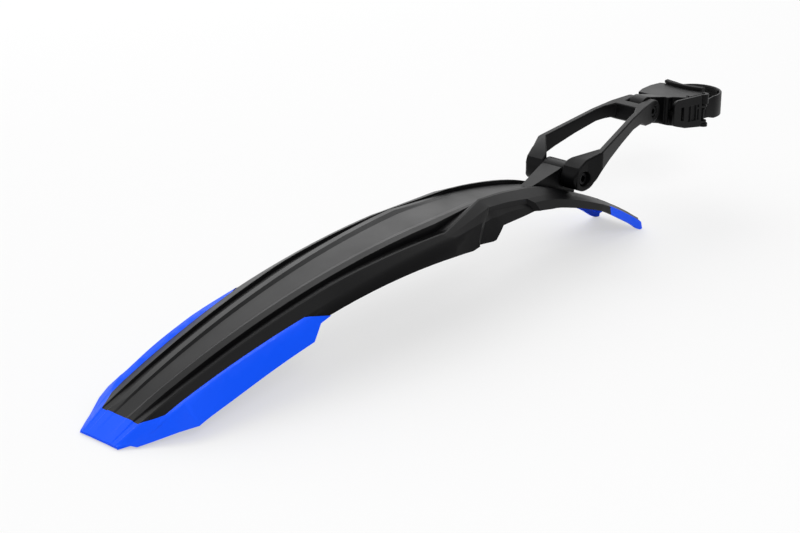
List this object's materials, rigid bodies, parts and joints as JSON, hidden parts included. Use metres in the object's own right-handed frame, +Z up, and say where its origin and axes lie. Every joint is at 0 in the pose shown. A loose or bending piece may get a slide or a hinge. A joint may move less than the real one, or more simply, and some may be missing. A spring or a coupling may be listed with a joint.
{
  "type": "bicycle mudguard",
  "caption": "Clip-on rear mudguard: long faceted arched blade on a hinged two-legged arm with a ratchet strap clamp that grips a seatpost.",
  "frame": {"origin": "on the seatpost's axis, at the strap's mid-height", "axes": "+X towards the front of the bicycle, +Y to its left, +Z up along the seatpost; the blade lies as it rests on a floor"},
  "size_m": [0.6491, 0.086, 0.0988],
  "materials": {
    "black_plastic": "satin moulded",
    "blue_plastic": "satin moulded",
    "rubber": "matt",
    "steel": "black oxide"
  },
  "bodies": {
    "blade": {"blade_shell": "black_plastic", "tail_trim": "blue_plastic", "nose_trim_left": "blue_plastic", "nose_trim_right": "blue_plastic"},
    "arm": {"arm": "black_plastic", "blade_pivot_bolt": "steel", "blade_pivot_nut": "steel", "clamp_pivot_bolt": "steel", "clamp_pivot_nut": "steel"},
    "clamp": {"clamp_body": "black_plastic", "post_pad": "rubber", "strap": "black_plastic", "strap_liner": "rubber", "strap_anchor_pin": "steel", "lever_pin": "steel", "holding_pawl_pin": "steel", "holding_pawl_spring": "steel"},
    "lever": {"ratchet_lever": "black_plastic", "drive_pawl_pin": "steel", "drive_pawl_spring": "steel"},
    "drive_pawl": {"drive_pawl": "black_plastic"},
    "holding_pawl": {"holding_pawl": "black_plastic"}
  },
  "joints": [
    {"name": "arm_tilt", "type": "hinge", "parent": "blade", "child": "arm", "pos_m": [-0.1805, 0, -0.016], "axis": [0, 1, 0], "range_deg": [-40, 15]},
    {"name": "clamp_tilt", "type": "hinge", "parent": "arm", "child": "clamp", "pos_m": [-0.0755, 0, 0.0105], "axis": [0, 1, 0], "range_deg": [-30, 30]},
    {"name": "lever_swing", "type": "hinge", "parent": "clamp", "child": "lever", "pos_m": [-0.02327, -0.02311, 0], "axis": [0, 0, 1], "range_deg": [0, 75]},
    {"name": "drive_pawl_turn", "type": "hinge", "parent": "lever", "child": "drive_pawl", "pos_m": [-0.02304, -0.0201, 0], "axis": [0, 0, 1], "range_deg": [-90, 0]},
    {"name": "holding_pawl_turn", "type": "hinge", "parent": "clamp", "child": "holding_pawl", "pos_m": [-0.03817, -0.01835, 0], "axis": [0, 0, 1], "range_deg": [0, 15], "stiffness_Nm_per_rad": 0.01, "springref_deg": -17.19}
  ],
  "couplings": [
    {"joint": "drive_pawl_turn", "follows": "lever_swing", "ratio": -1.2}
  ]
}
